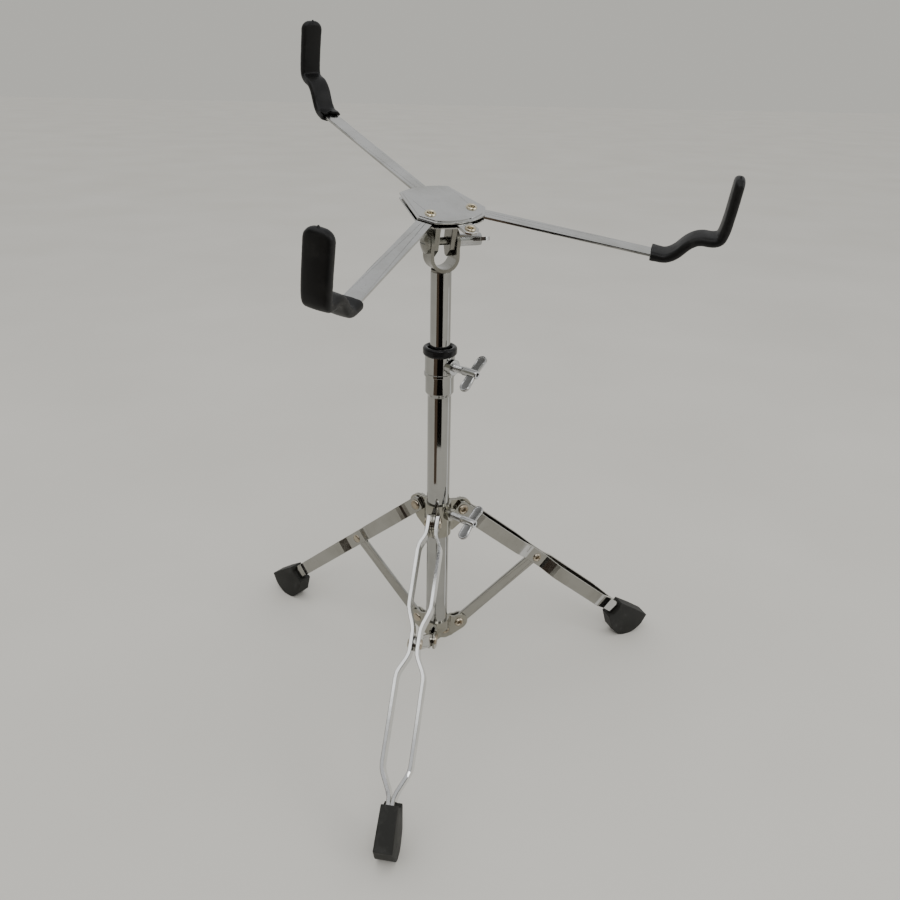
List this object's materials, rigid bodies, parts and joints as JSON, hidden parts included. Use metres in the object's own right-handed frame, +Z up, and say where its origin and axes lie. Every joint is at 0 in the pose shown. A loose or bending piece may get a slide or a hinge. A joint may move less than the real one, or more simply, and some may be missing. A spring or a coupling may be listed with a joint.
{
  "type": "snare drum stand",
  "caption": "Folding snare drum stand: tripod of crimped double-strip legs, telescoping mast, tilter and three-arm basket with rubber-covered hooks.",
  "frame": {"origin": "floor level, under the middle of the bounding box", "axes": "+Z up, +X to the right and +Y away from the viewer of the picture; front leg points towards -Y"},
  "size_m": [0.3944, 0.391, 0.5544],
  "materials": {
    "chrome": "bright chrome plate with light wear",
    "cast_chrome": "chrome-plated die casting, slightly grained",
    "dull_nickel": "dulled plated steel",
    "rivet_brass": "worn brassy plating",
    "sleeve_rubber": "satin black rubber",
    "foot_rubber": "matt black rubber",
    "ring_rubber": "black moulded nylon"
  },
  "bodies": {
    "mast": {"base_tube": "chrome", "height_bush": "ring_rubber", "height_collar": "chrome", "lower_hub_plate_a": "chrome", "lower_hub_plate_b": "chrome", "lower_hub_plate_c": "chrome", "lower_hub_rivets": "dull_nickel", "brace_pivot_rivets": "dull_nickel"},
    "collar_screw": {"collar_wing_screw": "cast_chrome"},
    "leg_hub": {"leg_hub_plate_a": "chrome", "leg_hub_plate_b": "chrome", "leg_hub_plate_c": "chrome", "leg_pivot_rivets": "dull_nickel"},
    "hub_screw": {"hub_wing_screw": "cast_chrome"},
    "upper_mast": {"upper_tube": "chrome", "tilter_yoke": "dull_nickel", "tilter_bolt": "dull_nickel"},
    "tilter_nut": {"tilter_wing_nut": "cast_chrome"},
    "basket_head": {"tilter_bracket": "dull_nickel", "basket_bottom_plate": "chrome", "basket_top_plate": "chrome", "arm_pivot_rivets": "rivet_brass"},
    "front_arm_body": {"front_arm": "chrome", "front_arm_sleeve": "sleeve_rubber"},
    "right_arm_body": {"right_arm": "chrome", "right_arm_sleeve": "sleeve_rubber"},
    "rear_arm_body": {"rear_arm": "chrome", "rear_arm_sleeve": "sleeve_rubber", "rear_arm_stop_rivet": "rivet_brass"},
    "front_leg": {"front_leg_strip_left": "chrome", "front_leg_strip_right": "chrome", "front_leg_rivet": "chrome", "front_foot": "foot_rubber"},
    "front_brace_body": {"front_brace": "chrome"},
    "right_leg": {"right_leg_strip_left": "chrome", "right_leg_strip_right": "chrome", "right_leg_rivet": "chrome", "right_foot": "foot_rubber"},
    "right_brace_body": {"right_brace": "chrome"},
    "left_leg": {"left_leg_strip_left": "chrome", "left_leg_strip_right": "chrome", "left_leg_rivet": "chrome", "left_foot": "foot_rubber"},
    "left_brace_body": {"left_brace": "chrome"}
  },
  "joints": [
    {"name": "hub_slide", "type": "slide", "parent": "mast", "child": "leg_hub", "axis": [0, 0, 1], "range_m": [-0.01, 0.04]},
    {"name": "height_slide", "type": "slide", "parent": "mast", "child": "upper_mast", "axis": [0, 0, 1], "range_m": [-0.05, 0.06]},
    {"name": "tilt", "type": "hinge", "parent": "upper_mast", "child": "basket_head", "pos_m": [-0.0181, 0.0158, 0.406], "axis": [0.9272, 0.3746, 0], "range_deg": [-32, 28]},
    {"name": "front_arm_swing", "type": "hinge", "parent": "basket_head", "child": "front_arm_body", "pos_m": [-0.02633, -0.00326, 0.42679], "axis": [0.1076, -0.2664, 0.9578], "range_deg": [-30, 45]},
    {"name": "right_arm_swing", "type": "hinge", "parent": "basket_head", "child": "right_arm_body", "pos_m": [0.00296, 0.01544, 0.42869], "axis": [0.1076, -0.2664, 0.9578], "range_deg": [-40, 30]},
    {"name": "rear_arm_slide", "type": "slide", "parent": "basket_head", "child": "rear_arm_body", "axis": [-0.5291, 0.8003, 0.2821], "range_m": [-0.045, 0.003]},
    {"name": "collar_screw_turn", "type": "hinge", "parent": "mast", "child": "collar_screw", "pos_m": [-0.00324, 0.00242, 0.31165], "axis": [0.7431, -0.6691, 0], "continuous": true},
    {"name": "hub_screw_turn", "type": "hinge", "parent": "leg_hub", "child": "hub_screw", "pos_m": [-0.00234, 0.00349, 0.18], "axis": [0.788, -0.6157, 0], "continuous": true},
    {"name": "tilter_nut_turn", "type": "hinge", "parent": "upper_mast", "child": "tilter_nut", "pos_m": [-0.0181, 0.0158, 0.406], "axis": [0.9272, 0.3746, 0], "continuous": true},
    {"name": "front_leg_pivot", "type": "hinge", "parent": "leg_hub", "child": "front_leg", "pos_m": [-0.02167, -0.0051, 0.179], "axis": [0.9857, -0.1685, 0], "range_deg": [-4.2, 16.2]},
    {"name": "front_brace_pivot", "type": "hinge", "parent": "mast", "child": "front_brace_body", "pos_m": [-0.02167, -0.0051, 0.058], "axis": [0.9857, -0.1685, 0], "range_deg": [-18.4, 4.8]},
    {"name": "right_leg_pivot", "type": "hinge", "parent": "leg_hub", "child": "right_leg", "pos_m": [0.00178, 0.02315, 0.179], "axis": [-0.3469, 0.9379, 0], "range_deg": [-4.2, 16.2]},
    {"name": "right_brace_pivot", "type": "hinge", "parent": "mast", "child": "right_brace_body", "pos_m": [0.00178, 0.02315, 0.058], "axis": [-0.3469, 0.9379, 0], "range_deg": [-18.4, 4.8]},
    {"name": "left_leg_pivot", "type": "hinge", "parent": "leg_hub", "child": "left_leg", "pos_m": [-0.03441, 0.02934, 0.179], "axis": [-0.6388, -0.7694, 0], "range_deg": [-4.2, 16.2]},
    {"name": "left_brace_pivot", "type": "hinge", "parent": "mast", "child": "left_brace_body", "pos_m": [-0.03441, 0.02934, 0.058], "axis": [-0.6388, -0.7694, 0], "range_deg": [-18.4, 4.8]}
  ],
  "couplings": [
    {"joint": "front_leg_pivot", "follows": "hub_slide", "rad_per_m": 6.9382},
    {"joint": "front_brace_pivot", "follows": "hub_slide", "rad_per_m": -7.7791},
    {"joint": "right_leg_pivot", "follows": "hub_slide", "rad_per_m": 6.9382},
    {"joint": "right_brace_pivot", "follows": "hub_slide", "rad_per_m": -7.7791},
    {"joint": "left_leg_pivot", "follows": "hub_slide", "rad_per_m": 6.9382},
    {"joint": "left_brace_pivot", "follows": "hub_slide", "rad_per_m": -7.7791}
  ]
}
